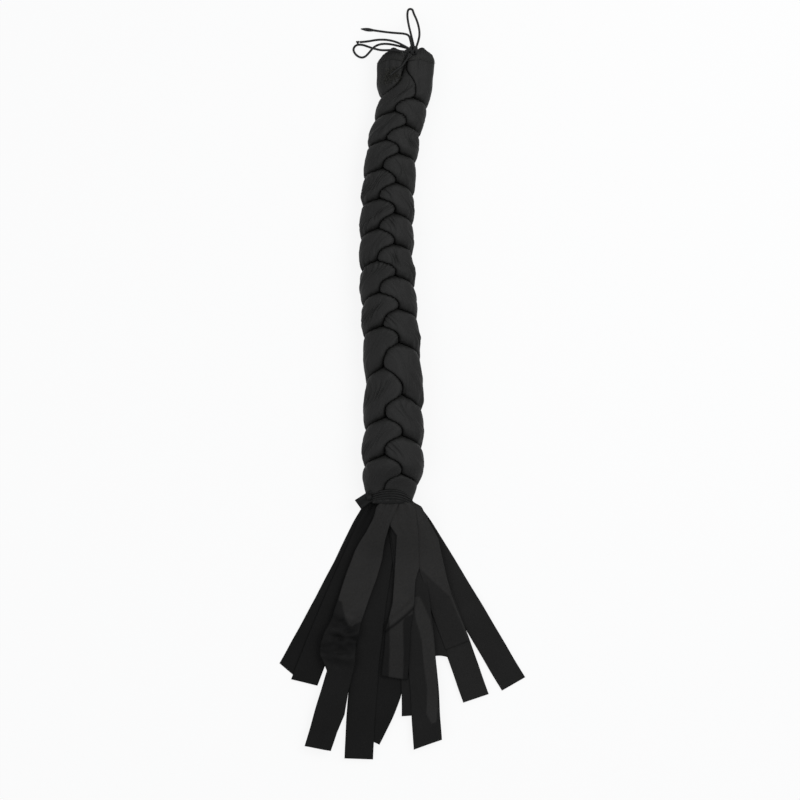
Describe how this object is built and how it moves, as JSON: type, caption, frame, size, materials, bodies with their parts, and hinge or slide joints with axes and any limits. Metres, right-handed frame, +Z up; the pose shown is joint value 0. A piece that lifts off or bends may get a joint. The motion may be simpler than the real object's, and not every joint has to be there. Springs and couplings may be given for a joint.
{
  "type": "horse tail bag",
  "caption": "Braid-in horse tail bag laid flat: fabric tubes in a plait, tie cord in a bow at the open mouths, bound neck and a fringe of cut fabric strips that brush flies off.",
  "frame": {"origin": "on the resting plane, under the middle of the neck binding", "axes": "+Y along the braid from the neck binding towards the open mouths, +Z up off the table the bag lies on, +X to the right seen from above with the mouths away from the viewer"},
  "size_m": [0.2893, 0.8798, 0.0484],
  "materials": {
    "tube_fabric": "matt black woven nylon, bunched",
    "hem_fabric": "matt black woven nylon, folded hem",
    "binding_fabric": "matt black fabric band",
    "strip_fabric": "satin black woven nylon, hot-cut edges",
    "tie_cord": "black braided cord",
    "stitching": "black thread"
  },
  "bodies": {
    "bag": {"left_tube": "tube_fabric", "centre_tube": "tube_fabric", "right_tube": "tube_fabric", "left_mouth_hem": "hem_fabric", "centre_mouth_hem": "hem_fabric", "right_mouth_hem": "hem_fabric", "gathered_tube_ends": "tube_fabric", "neck_binding": "binding_fabric", "binding_knot": "binding_fabric", "binding_end": "binding_fabric", "bow_knot": "tie_cord", "anchor_stitch": "stitching", "tie_cord_run": "tie_cord"},
    "strip_01": {"fringe_strip_01": "strip_fabric"},
    "strip_02": {"fringe_strip_02": "strip_fabric"},
    "strip_03": {"fringe_strip_03": "strip_fabric"},
    "strip_04": {"fringe_strip_04": "strip_fabric"},
    "strip_05": {"fringe_strip_05": "strip_fabric"},
    "strip_06": {"fringe_strip_06": "strip_fabric"},
    "strip_07": {"fringe_strip_07": "strip_fabric"},
    "strip_08": {"fringe_strip_08": "strip_fabric"},
    "strip_09": {"fringe_strip_09": "strip_fabric"},
    "strip_10": {"fringe_strip_10": "strip_fabric"},
    "strip_11": {"fringe_strip_11": "strip_fabric"},
    "strip_12": {"fringe_strip_12": "strip_fabric"},
    "bow_top": {"bow_loop_top": "tie_cord", "bow_tail_top": "tie_cord", "tail_tip": "tie_cord"},
    "bow_side": {"bow_loop_side": "tie_cord", "bow_tail_side": "tie_cord", "tail_end_knot": "tie_cord"}
  },
  "joints": [
    {"name": "strip_01_sway", "type": "hinge", "parent": "bag", "child": "strip_01", "pos_m": [0, -0.011, 0], "axis": [0, 0, 1], "range_deg": [-10, 18]},
    {"name": "strip_02_sway", "type": "hinge", "parent": "bag", "child": "strip_02", "pos_m": [0, -0.011, 0], "axis": [0, 0, 1], "range_deg": [-18, 10]},
    {"name": "strip_03_sway", "type": "hinge", "parent": "bag", "child": "strip_03", "pos_m": [0, -0.011, 0], "axis": [0, 0, 1], "range_deg": [-10, 18]},
    {"name": "strip_04_sway", "type": "hinge", "parent": "bag", "child": "strip_04", "pos_m": [0, -0.011, 0], "axis": [0, 0, 1], "range_deg": [-18, 10]},
    {"name": "strip_05_sway", "type": "hinge", "parent": "bag", "child": "strip_05", "pos_m": [0, -0.011, 0], "axis": [0, 0, 1], "range_deg": [-14, 14]},
    {"name": "strip_06_sway", "type": "hinge", "parent": "bag", "child": "strip_06", "pos_m": [0, -0.011, 0], "axis": [0, 0, 1], "range_deg": [-14, 14]},
    {"name": "strip_07_sway", "type": "hinge", "parent": "bag", "child": "strip_07", "pos_m": [0, -0.011, 0], "axis": [0, 0, 1], "range_deg": [-14, 14]},
    {"name": "strip_08_sway", "type": "hinge", "parent": "bag", "child": "strip_08", "pos_m": [0, -0.011, 0], "axis": [0, 0, 1], "range_deg": [-18, 10]},
    {"name": "strip_09_sway", "type": "hinge", "parent": "bag", "child": "strip_09", "pos_m": [0, -0.011, 0], "axis": [0, 0, 1], "range_deg": [-18, 10]},
    {"name": "strip_10_sway", "type": "hinge", "parent": "bag", "child": "strip_10", "pos_m": [0, -0.011, 0], "axis": [0, 0, 1], "range_deg": [-18, 10]},
    {"name": "strip_11_sway", "type": "hinge", "parent": "bag", "child": "strip_11", "pos_m": [0, -0.011, 0], "axis": [0, 0, 1], "range_deg": [-18, 10]},
    {"name": "strip_12_sway", "type": "hinge", "parent": "bag", "child": "strip_12", "pos_m": [0, -0.011, 0], "axis": [0, 0, 1], "range_deg": [-10, 18]},
    {"name": "bow_top_lift", "type": "hinge", "parent": "bag", "child": "bow_top", "pos_m": [0.023, 0.518, 0.0335], "axis": [1, 0, 0], "range_deg": [0, 45]},
    {"name": "bow_side_lift", "type": "hinge", "parent": "bag", "child": "bow_side", "pos_m": [0.023, 0.518, 0.0335], "axis": [0, 1, 0], "range_deg": [0, 45]}
  ]
}
